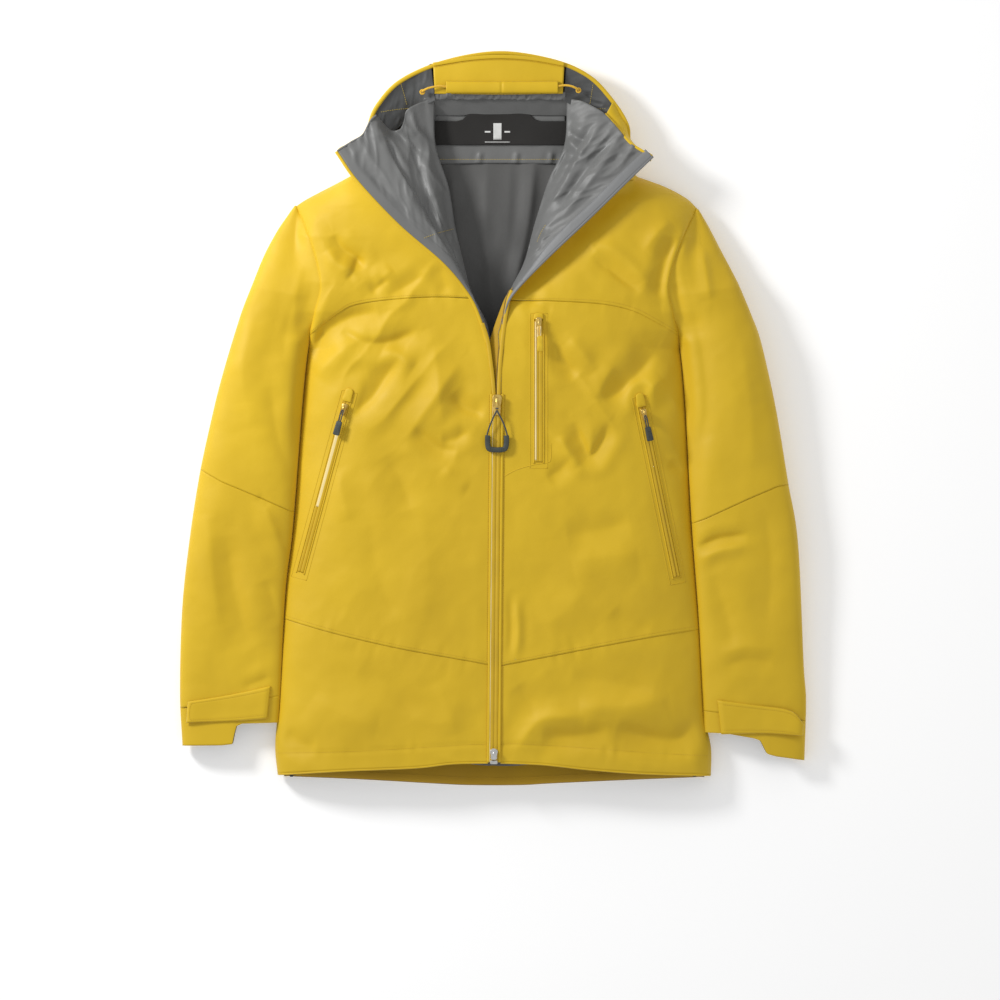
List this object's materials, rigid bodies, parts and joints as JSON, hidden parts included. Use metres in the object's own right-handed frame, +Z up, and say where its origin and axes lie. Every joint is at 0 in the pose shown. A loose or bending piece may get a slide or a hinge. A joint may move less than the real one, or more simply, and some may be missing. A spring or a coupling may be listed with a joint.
{
  "type": "hardshell jacket",
  "caption": "Hooded waterproof shell jacket laid on its back, with an open collar, closed front zip, zipped pockets and cuff tabs.",
  "frame": {"origin": "under the middle of the jacket, on the surface that it lies on", "axes": "+X to the wearer's left, +Y to the hood, +Z up out of the chest"},
  "size_m": [0.7656, 0.8942, 0.073],
  "materials": {
    "shell_yellow": "matte coated ripstop",
    "backer_grey": "matte knit backer",
    "hood_grey": "matte knit backer",
    "zip_film": "smooth welded zip film",
    "zip_teeth": "moulded coil",
    "slider_bronze": "bronze lacquer",
    "slider_silver": "bare metal",
    "grip_rubber": "moulded grip",
    "cord_yellow": "braided cord",
    "cord_dark": "braided cord",
    "label_black": "woven tape",
    "hook_orange": "hook-and-loop pile",
    "eyelet_metal": "dark nickel",
    "moulded_black": "moulded"
  },
  "bodies": {
    "root": {"back_panel": "shell_yellow", "chest_pocket_bag": "backer_grey", "chest_zip_tape": "zip_film", "hood_adjuster_tunnel": "shell_yellow", "hood_band": "backer_grey", "hood_brim": "shell_yellow", "hood_shell": "shell_yellow", "left_collar": "backer_grey", "left_front_panel": "shell_yellow", "left_front_yoke": "shell_yellow", "left_hand_pocket_bag": "backer_grey", "left_hand_zip_garage": "zip_film", "left_hand_zip_tape": "zip_film", "left_hem_cord_lock": "moulded_black", "left_hem_panel": "shell_yellow", "left_hood_cord": "cord_yellow", "left_hood_eyelet": "eyelet_metal", "left_hood_side": "hood_grey", "left_sleeve_head": "shell_yellow", "main_zip_chain": "zip_teeth", "main_zip_left_tape": "zip_film", "main_zip_right_tape": "zip_film", "neck_facing": "backer_grey", "neck_label": "label_black", "right_collar": "backer_grey", "right_front_panel": "shell_yellow", "right_front_yoke": "shell_yellow", "right_hand_pocket_bag": "backer_grey", "right_hand_zip_garage": "zip_film", "right_hand_zip_tape": "zip_film", "right_hem_cord_lock": "moulded_black", "right_hem_panel": "shell_yellow", "right_hood_cord": "cord_yellow", "right_hood_eyelet": "eyelet_metal", "right_hood_side": "hood_grey", "right_sleeve_head": "shell_yellow"},
    "main_slider": {"main_zip_slider": "slider_bronze"},
    "main_pull": {"main_zip_pull_cord": "cord_dark", "main_zip_pull_grip": "grip_rubber"},
    "lower_slider": {"main_zip_lower_slider": "slider_silver"},
    "lower_pull": {"main_zip_lower_pull": "slider_silver"},
    "chest_slider": {"chest_zip_slider": "slider_bronze"},
    "chest_pull": {"chest_zip_pull": "cord_yellow"},
    "right_hand_slider": {"right_hand_zip_slider": "zip_film"},
    "right_hand_pull": {"right_hand_zip_pull": "grip_rubber"},
    "right_sleeve": {"right_upper_sleeve": "shell_yellow", "right_lower_sleeve": "shell_yellow", "right_cuff": "shell_yellow", "right_cuff_hook_patch": "hook_orange"},
    "right_tab": {"right_cuff_tab": "shell_yellow"},
    "left_hand_slider": {"left_hand_zip_slider": "zip_film"},
    "left_hand_pull": {"left_hand_zip_pull": "grip_rubber"},
    "left_sleeve": {"left_upper_sleeve": "shell_yellow", "left_lower_sleeve": "shell_yellow", "left_cuff": "shell_yellow", "left_cuff_hook_patch": "hook_orange"},
    "left_tab": {"left_cuff_tab": "shell_yellow"}
  },
  "joints": [
    {"name": "main_zip_slide", "type": "slide", "parent": "root", "child": "main_slider", "axis": [-0.0089, -0.9994, -0.0335], "range_m": [0, 0.25]},
    {"name": "main_zip_pull_flip", "type": "hinge", "parent": "main_slider", "child": "main_pull", "pos_m": [0.00478, 0.00573, 0.06779], "axis": [-1, 0.0089, 0], "range_deg": [0, 150]},
    {"name": "main_zip_lower_slide", "type": "slide", "parent": "root", "child": "lower_slider", "axis": [0.0089, 0.9994, 0.0335], "range_m": [0, 0.1]},
    {"name": "main_zip_lower_pull_flip", "type": "hinge", "parent": "lower_slider", "child": "lower_pull", "pos_m": [0.00114, -0.401, 0.05314], "axis": [-1, 0.0089, 0], "range_deg": [0, 150]},
    {"name": "chest_zip_slide", "type": "slide", "parent": "root", "child": "chest_slider", "axis": [0, -0.9999, -0.0156], "range_m": [0, 0.145]},
    {"name": "chest_zip_pull_flip", "type": "hinge", "parent": "chest_slider", "child": "chest_pull", "pos_m": [0.0555, 0.11083, 0.0706], "axis": [-1, 0, 0], "range_deg": [0, 150]},
    {"name": "right_hand_zip_slide", "type": "slide", "parent": "root", "child": "right_hand_slider", "axis": [-0.2627, -0.9617, -0.079], "range_m": [0, 0.19]},
    {"name": "right_hand_zip_pull_flip", "type": "hinge", "parent": "right_hand_slider", "child": "right_hand_pull", "pos_m": [-0.18137, 0.00736, 0.06089], "axis": [-0.9647, 0.2635, 0], "range_deg": [0, 150]},
    {"name": "right_sleeve_swing", "type": "hinge", "parent": "root", "child": "right_sleeve", "pos_m": [-0.3018, 0.159, 0.025], "axis": [0, 0, -1], "range_deg": [0, 35]},
    {"name": "right_cuff_tab_open", "type": "hinge", "parent": "right_sleeve", "child": "right_tab", "pos_m": [-0.271, -0.325, 0.034], "axis": [0.102, 0.9948, 0], "range_deg": [0, 150]},
    {"name": "left_hand_zip_slide", "type": "slide", "parent": "root", "child": "left_hand_slider", "axis": [0.2023, -0.9772, -0.0645], "range_m": [0, 0.19]},
    {"name": "left_hand_zip_pull_flip", "type": "hinge", "parent": "left_hand_slider", "child": "left_hand_pull", "pos_m": [0.18341, 0.00102, 0.06097], "axis": [-0.9792, -0.2028, 0], "range_deg": [0, 150]},
    {"name": "left_sleeve_swing", "type": "hinge", "parent": "root", "child": "left_sleeve", "pos_m": [0.3066, 0.1585, 0.025], "axis": [0, 0, 1], "range_deg": [0, 35]},
    {"name": "left_cuff_tab_open", "type": "hinge", "parent": "left_sleeve", "child": "left_tab", "pos_m": [0.273, -0.342, 0.034], "axis": [0.2922, -0.9564, 0], "range_deg": [0, 150]}
  ]
}
